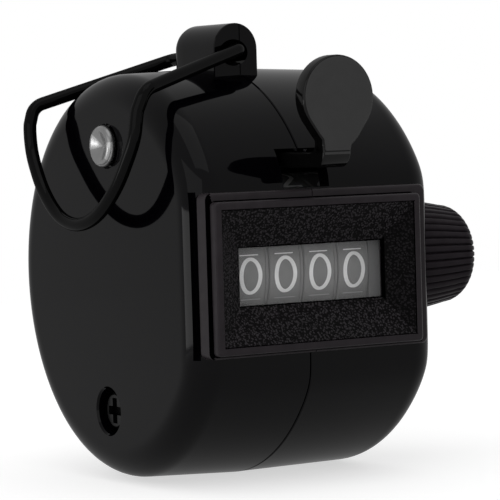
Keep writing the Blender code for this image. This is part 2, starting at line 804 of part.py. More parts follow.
def build_frame():
    for name, x0 in (("left_frame_plate", left_plate_x), ("right_frame_plate", right_plate_x)):
        x1 = x0 + plate_thickness
        plate = make_object(name, slab(plate_outline, x0, x1), STEEL)
        is_right = name.startswith("right")
        if is_right:
            combine(plate, box((tab_x0, tab_front_y, wheel_axis[1] - tab_half_height),
                               (x0 + plate_thickness / 2, tab_front_y + tab_thickness,
                                wheel_axis[1] + tab_half_height)), "UNION")
        for place, radius in plate_holes(is_right):
            combine(plate, rod(x0 - 1.0, x1 + 1.0, radius, place, 16))
    inner_left = left_plate_x + plate_thickness
    outer_right = right_plate_x + plate_thickness
    for name, place in (("front_tie_bar", front_bar), ("rear_tie_bar", rear_bar)):
        profile = ((left_plate_x, bar_end_radius), (inner_left + pin_gap, bar_end_radius),
                   (inner_left + pin_gap, bar_radius), (right_plate_x - pin_gap, bar_radius),
                   (right_plate_x - pin_gap, bar_end_radius), (outer_right, bar_end_radius))
        make_object(name, turned(profile, place, count=16), STEEL)
    make_object("lever_pin", rod(left_plate_x, outer_right, lever_pin_radius, lever_pivot, 16), STEEL)
    make_object("rivet_spacer", tube(inner_left + post_gap, right_plate_x - post_gap,
                                     rivet_radius + rivet_hole_gap, spacer_radius, rivet_place), BRASS)


def arm_outline():
    """Side view of the lever's arm, bent up into the paddle's neck."""
    back_y = paddle_front_y + paddle_thickness
    rise_z = paddle_neck_top_z + 1.0
    outline = list(lever_arm)
    bends = (((back_y, lever_top_z), lever_arm[-1], (back_y, rise_z), lever_inner_bend),
             ((paddle_front_y, lever_bottom_z), (paddle_front_y, rise_z), lever_underside[0],
              lever_outer_bend))
    for i, (corner, before, after, radius) in enumerate(bends):
        lifted = [Vector((*p, 0.0)) for p in (corner, before, after)]
        outline += [(p.x, p.y) for p in fillet(*lifted, radius, 5)]
        if i == 0:
            outline += [(back_y, rise_z), (paddle_front_y, rise_z)]
    return outline + list(lever_underside)


def paddle_shape(steps=28, droop=math.radians(40)):
    """The round thumb pad, drawn in to its neck."""
    start = -droop
    span = math.pi + 2 * droop
    ring = []
    for i in range(steps + 1):
        angle = start + span * i / steps
        ring.append((paddle_centre[0] + paddle_radius * math.cos(angle),
                     paddle_centre[1] + paddle_radius * math.sin(angle)))
    neck = ((-paddle_neck_half - 0.5, paddle_neck_top_z), (-paddle_neck_half, paddle_neck_top_z - 0.7),
            (paddle_neck_half, paddle_neck_top_z - 0.7), (paddle_neck_half + 0.5, paddle_neck_top_z))
    ring += neck
    back_y = paddle_front_y + paddle_thickness
    return loft([[(seam_x + x, y, z) for x, z in ring] for y in (paddle_front_y, back_y)])


def build_lever():
    origin = (seam_x, *lever_pivot)
    half = lever_width / 2
    hub_x0 = left_plate_x + plate_thickness + 3 * pin_gap
    hub_x1 = right_plate_x - 3 * pin_gap
    lever = make_object("thumb_lever", rod(hub_x0, hub_x1, lever_hub_radius, lever_pivot),
                        BLACK_GLOSS, origin)
    combine(lever, slab(arm_outline(), seam_x - half, seam_x + half), "UNION")
    combine(lever, paddle_shape(), "UNION")
    tail = bar_outline(tail_path, [tail_half_width] * len(tail_path))
    combine(lever, slab(tail, tail_x, tail_x + tail_thickness), "UNION")
    combine(lever, rod(hub_x0 - 1.0, hub_x1 + 1.0, lever_pin_radius + running_gap, lever_pivot, 16))
    combine(lever, rod(tail_x - 1.0, tail_x + tail_thickness + 1.0, pawl_pin_radius + pin_gap,
                       tail_path[-1], 16))
    build_lever_spring()


def build_lever_spring():
    per_turn = 10
    path = []
    for i in range(per_turn * spring_turns + 1):
        angle = 2 * math.pi * i / per_turn - math.pi / 2
        path.append((spring_start_x + spring_pitch * i / per_turn,
                     lever_pivot[0] + spring_coil_radius * math.cos(angle),
                     lever_pivot[1] + spring_coil_radius * math.sin(angle)))
    centres = [Vector(p) for p in path]
    apart = min((a - b).length for i, a in enumerate(centres) for b in centres[i + per_turn // 2:])
    print(f"lever_spring: least gap to itself {apart - 2 * spring_wire_radius:.2f} mm")
    wire("lever_spring", path, spring_wire_radius, SPRING, False, (0.0, *lever_pivot), 1)


def build_pawl(name, path, half_widths):
    x1 = pawl_x + pawl_thickness
    origin = (pawl_x, *path[0])
    pawl = make_object(name, slab(bar_outline(path, half_widths), pawl_x, x1), STEEL, origin)
    combine(pawl, rod(pawl_x - 1.0, x1 + 1.0, pawl_pin_radius + running_gap, path[0], 16))


def build_pawls():
    x1 = pawl_x + pawl_thickness
    drive = drive_pawl_path[0]
    build_pawl("drive_pawl", drive_pawl_path, drive_pawl_widths)
    make_object("drive_pawl_pin", rod(pawl_x - pin_gap, tail_x + tail_thickness + pin_gap,
                                      pawl_pin_radius, drive, 16), STEEL, (pawl_x, *lever_pivot))
    stop = stop_pawl_path[0]
    build_pawl("stop_pawl", stop_pawl_path, stop_pawl_widths)
    shoulder = (x1 + pin_gap, right_plate_x - pin_gap)
    profile = ((pawl_x - pin_gap, pawl_pin_radius), (shoulder[0], pawl_pin_radius),
               (shoulder[0], pawl_eye_radius), (shoulder[1], pawl_eye_radius),
               (shoulder[1], pawl_pin_radius), (right_plate_x + plate_thickness, pawl_pin_radius))
    make_object("stop_pawl_pin", turned(profile, stop, count=16), STEEL)
    leaves = (("drive_pawl_spring", drive_leaf_path, tail_x + tail_thickness - pin_gap, lever_pivot),
              ("stop_pawl_spring", stop_leaf_path, x1, (0.0, 0.0)))
    for name, path, end_x, place in leaves:
        strip = bar_outline(path, [leaf_half_thickness] * len(path), 2)
        make_object(name, slab(strip, pawl_x, end_x), SPRING, (0.0, *place))


def build_fasteners():
    head_x = left_face_x - seat_gap
    tail_end_x = right_face_x + seat_gap
    head = ((head_x - rivet_head_height, 0.35 * rivet_head_radius),
            (head_x - 0.85 * rivet_head_height, 0.62 * rivet_head_radius),
            (head_x - 0.45 * rivet_head_height, 0.9 * rivet_head_radius),
            (head_x, rivet_head_radius), (head_x, rivet_radius), (tail_end_x, rivet_radius),
            (tail_end_x, 1.5 * rivet_radius), (tail_end_x + 0.3, 1.5 * rivet_radius),
            (tail_end_x + 0.5, 1.1 * rivet_radius))
    make_object("case_rivet", turned(head, rivet_place), CHROME)
    floor_x = left_face_x + screw_recess_depth - seat_gap
    top_x = floor_x - screw_head_height
    screw = ((top_x, 0.8 * screw_head_radius), (top_x + 0.3, screw_head_radius),
             (floor_x, screw_head_radius), (floor_x, screw_radius), (screw_end_x - 0.8, screw_radius),
             (screw_end_x, 0.4 * screw_radius))
    piece = make_object("case_screw", turned(screw, screw_place), BLACK_WIRE)
    long_half = screw_slot_length / 2
    short_half = screw_slot_width / 2
    for half_y, half_z in ((long_half, short_half), (short_half, long_half)):
        combine(piece, box((top_x - 1.0, screw_place[0] - half_y, screw_place[1] - half_z),
                           (top_x + screw_slot_depth, screw_place[0] + half_y, screw_place[1] + half_z)))


def main():
    clear_scene()
    build_left_shell()
    build_right_shell()
    build_window()
    build_finger_ring()
    build_wheels()
    build_shaft_and_knob()
    build_frame()
    build_lever()
    build_pawls()
    build_fasteners()


main()
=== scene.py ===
"""Detailed looks of the four-digit hand tally counter, over its CAD frame.

X runs along the wheel axis, the digit window faces -Y and +Z is up.  Sizes are millimetres here and
become metres when a mesh is made.
"""

import math

import bmesh
import bpy
from mathutils import Matrix, Vector


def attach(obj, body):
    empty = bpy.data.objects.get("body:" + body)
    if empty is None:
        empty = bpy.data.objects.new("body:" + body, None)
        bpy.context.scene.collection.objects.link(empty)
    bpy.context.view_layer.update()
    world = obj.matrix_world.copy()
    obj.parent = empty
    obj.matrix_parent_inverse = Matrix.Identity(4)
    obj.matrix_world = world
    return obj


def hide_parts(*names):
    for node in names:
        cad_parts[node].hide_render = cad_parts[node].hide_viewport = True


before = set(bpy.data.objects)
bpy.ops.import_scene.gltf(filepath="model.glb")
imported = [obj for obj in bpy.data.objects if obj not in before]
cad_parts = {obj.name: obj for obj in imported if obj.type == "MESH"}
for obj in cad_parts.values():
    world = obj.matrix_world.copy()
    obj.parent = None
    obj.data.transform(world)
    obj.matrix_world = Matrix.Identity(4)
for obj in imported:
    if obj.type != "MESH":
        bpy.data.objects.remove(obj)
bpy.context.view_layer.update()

MM = 0.001

# Case, as in the CAD source
drum_radius = 21.0
drum_half_depth = 19.8
flat_front = 17.3
left_face_x = -14.1
right_face_x = 14.7
seam_x = -1.05
seam_half_gap = 0.05
left_draft = 0.45
right_draft = 0.25
right_end_drop = 0.19
edge_radius = 3.0
wall = 1.6
tongue_depth = 0.8
tongue_length = 1.2
lug_centre_x = -1.55
lug_hole_centre = (-1.8, 22.4)
lug_hole_half = (1.55, 1.2)
rivet_place = (-0.6, 13.3)
screw_place = (0.65, -13.7)
lever_slot_half = 2.7
lever_slot_z = (8.75, 12.6)
pawl_pocket = ((6.9, -16.5, -2.6), (9.3, -13.0, 3.2))
far = 40.0

# Boss and window
boss_front_y = -18.25
boss_half = (12.95, 8.05)
boss_centre = (-0.35, 0.55)
boss_groove_y = -16.5
boss_groove_width = 0.42
# How far the painted shade line reaches beyond the bezel
shade_line = 0.12
bezel_front_y = -19.25
bezel_half = (12.15, 7.45)
bezel_centre = (-0.8, 0.3)
bezel_rim = 0.72
rim_step = 0.16
flange_back_y = -18.35
funnel_half = (11.3, 6.6)
window_half = (8.4, 2.83)
window_y = -17.3
spigot_half = (10.76, 5.795)
spigot_end_y = -17.15
lens_front_y = -17.05
lens_back_y = -16.55

# Ring and lever
ring_hinge = (-1.5, 0.25, 22.4)
ring_wire_radius = 0.68
lever_pivot = (-8.0, 13.3)
pad_front_y = -22.9
pad_back_y = -21.2
arm_half_width = 1.6
hub_radius = 2.0
hub_bore = 1.12
hub_ends = (-8.5, 9.2)
tail_sides = (8.4, 9.1)

# Number wheels
wheel_axis = (-6.0, 0.7)
wheel_radius = 9.35
wheel_half_width = 1.8
wheels_centre_x = -0.45
wheel_pitch = 4.1
wheel_bore = 1.62
rim_inner_radius = 7.8
web_half = 0.5
gear_radius = 7.28
tooth_half_height = 0.37
gear_teeth = 20
pinion_side = math.radians(-38)

# Points round a turned part
ring_steps = 48

# Floor and lamps; a lamp has its place, target, size and power in watts
floor_half = 260.0
floor_glow = 0.6
lamps = {
    "side_light": ((-146, 34, -7), (-13, -16, -7), (72, 25), 0.022),
    "strip_light": ((-190, -100, 55), (0, 0, 0), (210, 200), 0.13),
    "top_light": ((-60, -160, 520), (0, 0, 0), (420, 420), 0.5),
}

# Camera, fitted to the photo
camera_turn = math.radians(31.9)
camera_lift = math.radians(3.17)
camera_roll = math.radians(1.69)
camera_distance = 285.29
camera_lens = 197.17
camera_shift = (0.04945, 0.0396)


# Mesh building

def loft(rings, closed=False):
    """Faces between rings of equal point counts, capped at the ends or closed into a loop."""
    count = len(rings[0])
    points = [p for ring in rings for p in ring]
    faces = []
    for i in range(len(rings) if closed else len(rings) - 1):
        a = i * count
        b = (i + 1) % len(rings) * count
        for j in range(count):
            k = (j + 1) % count
            faces.append((a + j, a + k, b + k, b + j))
    if not closed:
        faces.append(tuple(range(count - 1, -1, -1)))
        faces.append(tuple(range(len(points) - count, len(points))))
    return points, faces


def joined(*shapes):
    """Several closed shapes as one."""
    points = []
    faces = []
    for more_points, more_faces in shapes:
        start = len(points)
        points += more_points
        faces += [tuple(i + start for i in face) for face in more_faces]
    return points, faces


def circle(x, radius, centre, count=ring_steps):
    """Points round a (y, z) centre in the plane of one x."""
    steps = [2 * math.pi * i / count for i in range(count)]
    return [(x, centre[0] + radius * math.cos(t), centre[1] + radius * math.sin(t)) for t in steps]


def turned(profile, centre, closed=False, count=ring_steps):
    """A solid turned about X at a (y, z) centre from (x, radius) pairs."""
    return loft([circle(x, radius, centre, count) for x, radius in profile], closed)


def arc_profile(centre, radius, start, end, steps):
    """(x, radius) pairs on an arc; angles in degrees, 0 along +X and 90 outwards."""
    result = []
    for i in range(steps + 1):
        angle = math.radians(start + (end - start) * i / steps)
        result.append((centre[0] + radius * math.cos(angle), centre[1] + radius * math.sin(angle)))
    return result


def box(low, high):
    """A block between two opposite corners."""
    rings = []
    for x in (low[0], high[0]):
        rings.append([(x, low[1], low[2]), (x, high[1], low[2]), (x, high[1], high[2]),
                      (x, low[1], high[2])])
    return loft(rings)


def rectangle_ring(centre, half, y, corner, steps=6):
    """A rounded rectangle that faces -Y, as a ring of points at depth y."""
    ring = []
    for sx, sz, start in ((1, 1, 0), (-1, 1, 90), (-1, -1, 180), (1, -1, 270)):
        for i in range(steps + 1):
            angle = math.radians(start + 90 * i / steps)
            ring.append((centre[0] + sx * (half[0] - corner) + corner * math.cos(angle), y,
                         centre[1] + sz * (half[1] - corner) + corner * math.sin(angle)))
    return ring


def oval_along_y(centre, half, profile, count=ring_steps):
    """An oval hole along Y from (y, extra half width) pairs."""
    rings = []
    for y, extra in profile:
        rings.append([(centre[0] + (half[0] + extra) * math.cos(2 * math.pi * i / count), y,
                       centre[1] + (half[1] + extra) * math.sin(2 * math.pi * i / count))
                      for i in range(count)])
    return loft(rings)


def drawn_in(outline, amount):
    """A closed 2-D outline moved inwards, each point along its own normal."""
    points = [Vector(p) for p in outline]
    count = len(points)
    area = sum(points[i].cross(points[(i + 1) % count]) for i in range(count))
    side = 1 if area > 0 else -1
    result = []
    for i, point in enumerate(points):
        before = (point - points[i - 1]).normalized()
        after = (points[(i + 1) % count] - point).normalized()
        normal = Vector((-(before.y + after.y), before.x + after.x)).normalized() * side
        stretch = 1 / max(math.sqrt((1 + before.dot(after)) / 2), 0.6)
        result.append(tuple(point + normal * amount * stretch))
    return result


def rounded_slab(outline, x0, x1, edge, place, steps=4):
    """An outline extruded between two planes with rounded edges; place(x, a, b) gives the point."""
    layers = []
    for i in range(steps + 1):
        angle = math.pi / 2 * i / steps
        layers.append((edge * (1 - math.sin(angle)), edge * (1 - math.cos(angle))))
    rings = []
    for inset, depth in [(layers[0][0] + 0.3, 0.0)] + layers:
        rings.append([place(x0 + depth, a, b) for a, b in drawn_in(outline, inset)])
    for inset, depth in layers[::-1] + [(layers[0][0] + 0.3, 0.0)]:
        rings.append([place(x1 - depth, a, b) for a, b in drawn_in(outline, inset)])
    return loft(rings)


def add(name, shape, looks=(), pick=None):
    """A mesh object; looks are its materials and pick gives a face's material from its centre."""
    points, faces = shape
    mesh = bpy.data.meshes.new(name)
    mesh.from_pydata([tuple(c * MM for c in p) for p in points], [], faces)
    work = bmesh.new()
    work.from_mesh(mesh)
    bmesh.ops.recalc_face_normals(work, faces=work.faces)
    work.to_mesh(mesh)
    work.free()
    for look in looks:
        mesh.materials.append(look)
    if pick:
        for face in mesh.polygons:
            face.material_index = pick(face.center / MM)
    piece = bpy.data.objects.new(name, mesh)
    bpy.context.scene.collection.objects.link(piece)
    return piece


def cut(piece, shape):
    """Cuts a shape away from a piece at once, so that its edges can be sharpened afterwards."""
    tool = add(f"{piece.name}_tool", shape)
    modifier = piece.modifiers.new("cut", "BOOLEAN")
    modifier.operation = "DIFFERENCE"
    modifier.solver = "EXACT"
    modifier.object = tool
    bpy.context.view_layer.update()
    graph = bpy.context.evaluated_depsgraph_get()
    mesh = bpy.data.meshes.new_from_object(piece.evaluated_get(graph))
    piece.modifiers.clear()
    piece.data = mesh
    bpy.data.objects.remove(tool, do_unlink=True)


def finish_piece(piece, body, nodes=(), sharp=32):
    """Shades a piece, ties it to its body and hides the nodes it stands for."""
    piece.data.shade_smooth()
    piece.data.set_sharp_from_angle(angle=math.radians(sharp))
    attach(piece, body)
    if nodes:
        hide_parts(*nodes)
    return piece


# Materials

def new_material(name):
    """A material with its node tree, its shader and the object coordinates."""
    material = bpy.data.materials.new(name)
    material.use_nodes = True
    tree = material.node_tree
    place = tree.nodes.new("ShaderNodeTexCoord")
    return material, tree, tree.nodes["Principled BSDF"], place.outputs["Object"]


def noise(tree, place, scale, detail):
    """A noise texture over the object coordinates."""
    node = tree.nodes.new("ShaderNodeTexNoise")
    node.inputs["Scale"].default_value = scale
    node.inputs["Detail"].default_value = detail
    tree.links.new(place, node.inputs["Vector"])
    return node


def two_colours(tree, factor, target, first, second):
    """A ramp between two (position, colour) stops, from a factor to a colour input."""
    ramp = tree.nodes.new("ShaderNodeValToRGB")
    for element, (position, color) in zip(ramp.color_ramp.elements, (first, second)):
        element.position = position
        element.color = (*color, 1.0)
    tree.links.new(factor, ramp.inputs["Fac"])
    tree.links.new(ramp.outputs["Color"], target)


def uneven_gloss(tree, place, shader, scale, roughness, change):
    """Roughness that wanders by a share of itself."""
    spread = tree.nodes.new("ShaderNodeMapRange")
    spread.inputs["To Min"].default_value = roughness * (1 - change)
    spread.inputs["To Max"].default_value = roughness * (1 + change)
    tree.links.new(noise(tree, place, scale, 3.0).outputs["Fac"], spread.inputs["Value"])
    tree.links.new(spread.outputs["Result"], shader.inputs["Roughness"])


def raise_relief(tree, height, shader, strength, depth, sunken=False):
    """Bump from a height output, depth in millimetres."""
    relief = tree.nodes.new("ShaderNodeBump")
    relief.inputs["Strength"].default_value = strength
    relief.inputs["Distance"].default_value = depth * MM
    relief.invert = sunken
    tree.links.new(height, relief.inputs["Height"])
    tree.links.new(relief.outputs["Normal"], shader.inputs["Normal"])


def surface(name, color, roughness, metallic=0.0, level=0.5, tint=0.12, fleck=900.0, bump=0.04,
            grain=2500.0, rough_change=0.15, coat=0.0, coat_roughness=0.05, coat_ior=1.5,
            alpha=1.0):
    """A procedural surface: slow colour change, uneven gloss and fine surface texture."""
    material, tree, shader, place = new_material(name)
    darker = [c * (1 - tint) for c in color]
    lighter = [min(1.0, c * (1 + tint)) for c in color]
    two_colours(tree, noise(tree, place, fleck, 4.0).outputs["Fac"], shader.inputs["Base Color"],
                (0.3, darker), (0.7, lighter))
    uneven_gloss(tree, place, shader, fleck * 0.4, roughness, rough_change)
    raise_relief(tree, noise(tree, place, grain, 6.0).outputs["Fac"], shader, bump, 0.02)
    shader.inputs["Metallic"].default_value = metallic
    shader.inputs["Specular IOR Level"].default_value = level
    shader.inputs["Coat Weight"].default_value = coat
    shader.inputs["Coat Roughness"].default_value = coat_roughness
    shader.inputs["Coat IOR"].default_value = coat_ior
    shader.inputs["Alpha"].default_value = alpha
    return material


def wrinkled(name, color, scale, depth):
    """Moulded wrinkle grain: cells broken up by noise and raised by bump, painted lighter on their
    tops and painted in shade in their valleys.
    """
    material, tree, shader, place = new_material(name)
    uneven_gloss(tree, place, shader, 360.0, 0.42, 0.15)
    shader.inputs["Specular IOR Level"].default_value = 0.03
    shift = tree.nodes.new("ShaderNodeVectorMath")
    shift.operation = "MULTIPLY_ADD"
    shift.inputs[1].default_value = (0.9 / scale, 0.9 / scale, 0.9 / scale)
    tree.links.new(noise(tree, place, scale * 0.8, 5.0).outputs["Color"], shift.inputs[0])
    tree.links.new(place, shift.inputs[2])
    cells = tree.nodes.new("ShaderNodeTexVoronoi")
    cells.feature = "SMOOTH_F1"
    cells.inputs["Scale"].default_value = scale
    cells.inputs["Smoothness"].default_value = 0.35
    tree.links.new(shift.outputs["Vector"], cells.inputs["Vector"])
    raise_relief(tree, cells.outputs["Distance"], shader, 1.0, depth, sunken=True)
    # Wrinkle tops painted light and valleys painted in shade
    two_colours(tree, cells.outputs["Distance"], shader.inputs["Base Color"],
                (0.3, color), (0.52, [c * 0.08 for c in color]))
    return material


def make_looks():
    """Every look by name; the black gloss is a dark base under a thin clear coat."""
    return {
        "case": surface("case_gloss", (0.0006, 0.0005, 0.0009), 0.2, level=0.0, coat=0.37,
                        coat_ior=1.3, bump=0.015, grain=700.0),
        # Matte black painted shade, for the faces beside the boss and the lines round the bezel
        "gap": surface("shaded_gap", (0.0004, 0.0004, 0.0005), 0.6, level=0.0, bump=0.05),
        "boss": surface("boss_satin", (0.0205, 0.0175, 0.0195), 0.3, level=0.06, bump=0.05),
        "rim": surface("bezel_rim", (0.0195, 0.0165, 0.0188), 0.3, level=0.06, bump=0.05),
        "grain": wrinkled("bezel_grain", (0.03, 0.0275, 0.03), 4200.0, 0.1),
        # The same grain darkened as painted shade, for the funnel's right side
        "painted_shade_grain": wrinkled("bezel_grain_painted_shade", (0.011, 0.010, 0.011), 4200.0, 0.1),
        "lever": surface("lever_gloss", (0.002, 0.002, 0.002), 0.12, level=0.0, coat=0.25,
                         coat_roughness=0.1, bump=0.03),
        "pad": surface("pad_satin", (0.036, 0.036, 0.036), 0.4, level=0.1, tint=0.05, bump=0.04),
        "wire": surface("ring_coating", (0.001, 0.001, 0.0011), 0.35, level=0.0, coat=0.12,
                        coat_roughness=0.06, bump=0.06, grain=4000.0),
        "rivet": surface("rivet_plating", (0.17, 0.17, 0.17), 0.3, metallic=1.0, tint=0.05,
                         bump=0.05),
        # Lighter plating for wedges of the rivet head, a painted reflection
        "rivet_painted_reflection": surface("rivet_plating_painted_reflection", (0.28, 0.28, 0.28), 0.25, metallic=1.0, tint=0.05,
                               bump=0.05),
        "screw": surface("screw_blacking", (0.002, 0.002, 0.002), 0.3, level=0.07, bump=0.08),
        "knob": surface("knob_plastic", (0.017, 0.014, 0.0165), 0.34, level=0.02, bump=0.08),
        "wheel": surface("wheel_plastic", (0.2, 0.2, 0.2), 0.6, level=0.15, tint=0.05),
        "figure": surface("figure_paint", (0.9, 0.9, 0.9), 0.6, level=0.2, tint=0.04),
        "mark": surface("mark_paint", (0.36, 0.36, 0.36), 0.6, level=0.2, tint=0.05),
        "lens": surface("lens_plastic", (0.9, 0.9, 0.9), 0.05, level=0.1, tint=0.02, bump=0.01,
                        alpha=0.04),
        "steel": surface("plain_steel", (0.3, 0.3, 0.31), 0.34, metallic=1.0, tint=0.08,
                         bump=0.1),
        "plate": surface("zinc_plate", (0.24, 0.24, 0.245), 0.5, metallic=0.2, tint=0.06,
                         bump=0.06),
        "spring": surface("spring_wire", (0.14, 0.14, 0.15), 0.3, metallic=1.0, bump=0.08),
        "brass": surface("turned_brass", (0.62, 0.45, 0.19), 0.3, metallic=1.0, bump=0.1),
        "nylon": surface("natural_nylon", (0.7, 0.68, 0.62), 0.5, level=0.4, bump=0.05),
    }


# Case

def soft_min(a, b, k=0.35):
    """The smaller of two values, with a soft change from one to the other."""
    return -k * math.log(math.exp(-a / k) + math.exp(-b / k))


def drum_ring(x, inset, flat_inset, count=216):
    """The case's side profile, round with a flat front and a softened corner between them."""
    near = seam_x + seam_half_gap
    sink = right_end_drop * max(0.0, (x - near) / (right_face_x - near))
    ring = []
    for i in range(count):
        t = 2 * math.pi * i / count
        y = soft_min((drum_half_depth - inset) * math.cos(t), flat_front - flat_inset)
        ring.append((x, -y, (drum_radius - inset) * math.sin(t) - sink))
    return ring


def shell_shape(side):
    """One half of the case from its end face over the drum to the seam, then back inside."""
    end = left_face_x if side < 0 else right_face_x
    draft = left_draft if side < 0 else right_draft
    steps = 12
    rings = []
    for extra in (3.0, 0.3):
        rings.append(drum_ring(end, draft + edge_radius + extra, edge_radius + extra))
    for i in range(steps + 1):
        angle = math.pi / 2 * i / steps
        inset = edge_radius * (1 - math.sin(angle))
        x = end - side * edge_radius * (1 - math.cos(angle))
        rings.append(drum_ring(x, draft + inset, inset))
    near = seam_x + side * seam_half_gap
    rings.append(drum_ring(near + side * 0.5, 0.02, 0.0))
    rings.append(drum_ring(near + side * 0.1, 0.0, 0.0))
    rings.append(drum_ring(near, 0.08, 0.08))
    lip = tongue_depth if side < 0 else tongue_depth - 0.15
    reach = seam_x + tongue_length + (0.0 if side < 0 else 0.15)
    rings.append(drum_ring(near, lip, lip))
    rings.append(drum_ring(reach, lip, lip))
    rings.append(drum_ring(reach, wall, wall))
    rings.append(drum_ring(end - side * (wall + 1.2), draft + wall, wall))
    rings.append(drum_ring(end - side * wall, draft + wall + 1.2, wall + 1.2))
    return loft(rings)


def half_space(side):
    """Everything beyond the seam as seen from one half, as a box to cut away."""
    if side < 0:
        return box((seam_x - seam_half_gap, -far, -far), (far, far, far))
    return box((-far, -far, -far), (seam_x + seam_half_gap, far, far))


def boss_frame():
    """The raised frame on the flat front that the window sits in."""
    root = -(flat_front - 1.3)
    opening = (spigot_half[0] + 0.1, spigot_half[1] + 0.1)
    edge = 0.3
    rings = [rectangle_ring(boss_centre, boss_half, root, 0.7),
             rectangle_ring(boss_centre, boss_half, boss_groove_y, 0.7)]
    for i in range(7):
        angle = math.pi / 2 * i / 6
        inset = edge * (1 - math.cos(angle))
        half = (boss_half[0] - inset, boss_half[1] - inset)
        rings.append(rectangle_ring(boss_centre, half, boss_front_y + edge * (1 - math.sin(angle)),
                                    0.7 - inset * 0.5))
    inner = (boss_half[0] - edge - 0.1, boss_half[1] - edge - 0.1)
    rings.append(rectangle_ring(boss_centre, inner, boss_front_y, 0.5))
    # The painted shade line round the bezel reaches out to this ring
    line_centre = (bezel_centre[0], bezel_centre[1] + shade_line)
    rings.append(rectangle_ring(line_centre, (bezel_half[0] - 0.15, bezel_half[1]), boss_front_y,
                                0.5))
    rings.append(rectangle_ring(bezel_centre, opening, boss_front_y, 0.35))
    rings.append(rectangle_ring(bezel_centre, opening, root, 0.35))
    return loft(rings, closed=True)


def lug_block():
    """The arched lug: crisp at the front, rounded off at the back, its foot sunk into the drum."""
    half_width = 2.6
    front_y = -5.7
    back_y = 2.75
    top_z = 25.4
    round_back = 1.4
    layout = [(front_y, 0.32), (front_y, 0.08), (front_y + 0.08, 0.0)]
    for i in range(1, 7):
        layout.append((front_y + (back_y - round_back - front_y) * i / 6, 0.0))
    for i in range(1, 9):
        angle = math.pi / 2 * i / 8
        layout.append((back_y - round_back * (1 - math.sin(angle)),
                       round_back * (1 - math.cos(angle))))
    layout.append((back_y, round_back + 0.3))
    rings = []
    steps = 36
    for y, inset in layout:
        foot_z = drum_radius * math.sqrt(1 - (y / drum_half_depth) ** 2) - 0.8
        half = half_width - inset
        centre_z = top_z - half_width
        ring = [(lug_centre_x + half, y, foot_z)]
        for i in range(steps + 1):
            angle = math.pi * i / steps
            ring.append((lug_centre_x + half * math.cos(angle), y,
                         centre_z + half * math.sin(angle)))
        ring.append((lug_centre_x - half, y, foot_z))
        rings.append(ring)
    return loft(rings)


def screw_recess():
    """A stepped round hole with a small chamfer at its mouth."""
    mouth = [(left_face_x - 1.0, 2.54), (left_face_x, 2.54), (left_face_x + 0.12, 2.46),
             (left_face_x + 0.22, 2.38), (left_face_x + 2.1, 2.38), (left_face_x + 2.1, 1.3),
             (-2.0, 1.3)]
    return turned(mouth, screw_place)


def rivet_seat():
    """A shallow dished seat round the rivet's head and the hole behind it."""
    profile = [(left_face_x - 1.0, 2.3), (left_face_x, 2.3), (left_face_x + 0.1, 2.2),
               (left_face_x + 0.35, 2.2), (left_face_x + 0.35, 1.35), (right_face_x + 1.0, 1.35)]
    return turned(profile, rivet_place)


def build_case(looks):
    """Both case halves, their shares of the boss and the lug, the inner posts and the collar."""
    view = (window_half[0] + 0.1, window_half[1] + 0.1)
    seat = (spigot_half[0] + 0.1, spigot_half[1] + 0.1)
    slot_cut = box((seam_x - lever_slot_half, -24.0, lever_slot_z[0]),
                   (seam_x + lever_slot_half, -12.6, lever_slot_z[1]))
    boss_left = boss_centre[0] - boss_half[0]
    groove_low = (boss_left - boss_groove_width, -24.0, boss_centre[1] - boss_half[1] - 0.1)
    groove_high = (boss_left + 0.05, -15.5, boss_centre[1] + boss_half[1] + 0.1)

    def in_painted_shade(centre):
        """1 on the faces painted in shade, left of the boss and in the line round the bezel."""
        deep = centre.y > boss_groove_y or centre.y < boss_front_y + 0.2
        across = abs(centre.x - bezel_centre[0]) - bezel_half[0] - shade_line
        over = abs(centre.z - bezel_centre[1]) - bezel_half[1] - shade_line
        under_bezel = centre.y < boss_front_y + 0.01 and max(across, over) < 0
        return 1 if deep and (centre.x < boss_left + 0.5 or under_bezel) else 0

    for side, name in ((-1, "left"), (1, "right")):
        shell = add(f"{name}_case_half", shell_shape(side), [looks["case"]])
        cut(shell, loft([rectangle_ring(bezel_centre, seat, y, 0.35) for y in (-24.0, -16.45)]))
        cut(shell, loft([rectangle_ring(bezel_centre, view, y, 0.35) for y in (-24.0, -11.0)]))
        cut(shell, slot_cut)
        cut(shell, rivet_seat())
        if side < 0:
            cut(shell, screw_recess())
            cut(shell, box(groove_low, groove_high))
        else:
            cut(shell, box(*pawl_pocket))
        finish_piece(shell, "case", [f"{name}_shell"])
        # Faces left of the boss and in the line round the bezel get the matte black of painted
        # shade
        frame_part = add(f"{name}_window_boss", boss_frame(), [looks["boss"], looks["gap"]],
                         in_painted_shade)
        cut(frame_part, half_space(side))
        cut(frame_part, slot_cut)
        finish_piece(frame_part, "case")
        lug = add(f"{name}_ring_lug", lug_block(), [looks["case"]])
        cut(lug, half_space(side))
        cut(lug, oval_along_y(lug_hole_centre, lug_hole_half,
                              ((-8.0, 0.3), (-5.7, 0.14), (-5.56, 0.0), (4.0, 0.0))))
        finish_piece(lug, "case")
    posts = []
    for place, x0, x1, bore, radius in ((rivet_place, -13.0, -9.8, 1.4, 2.6),
                                        (rivet_place, 10.4, 13.6, 1.4, 2.6),
                                        (screw_place, -11.95, -2.0, 1.4, 2.6),
                                        (screw_place, -1.9, 13.6, 1.4, 2.6),
                                        (wheel_axis, -13.0, -9.8, 1.7, 3.4),
                                        (wheel_axis, 10.4, 13.6, 1.7, 3.4),
                                        (screw_place, -13.5, -10.4, 2.5, 3.5)):
        posts.append(turned(((x0, bore), (x0, radius), (x1, radius), (x1, bore)), place, True))
    finish_piece(add("case_inner_posts", joined(*posts), [looks["case"]]), "case")
    end = right_face_x + 1.3
    collar = [(right_face_x - 0.5, 1.7), (right_face_x - 0.5, 6.2)]
    collar += arc_profile((end - 0.15, 6.05), 0.15, 90, 0, 4)
    collar += [(end, 5.6), (end, 1.7)]
    finish_piece(add("knob_collar", turned(collar, wheel_axis, True, 96), [looks["case"]]), "case")


# Window

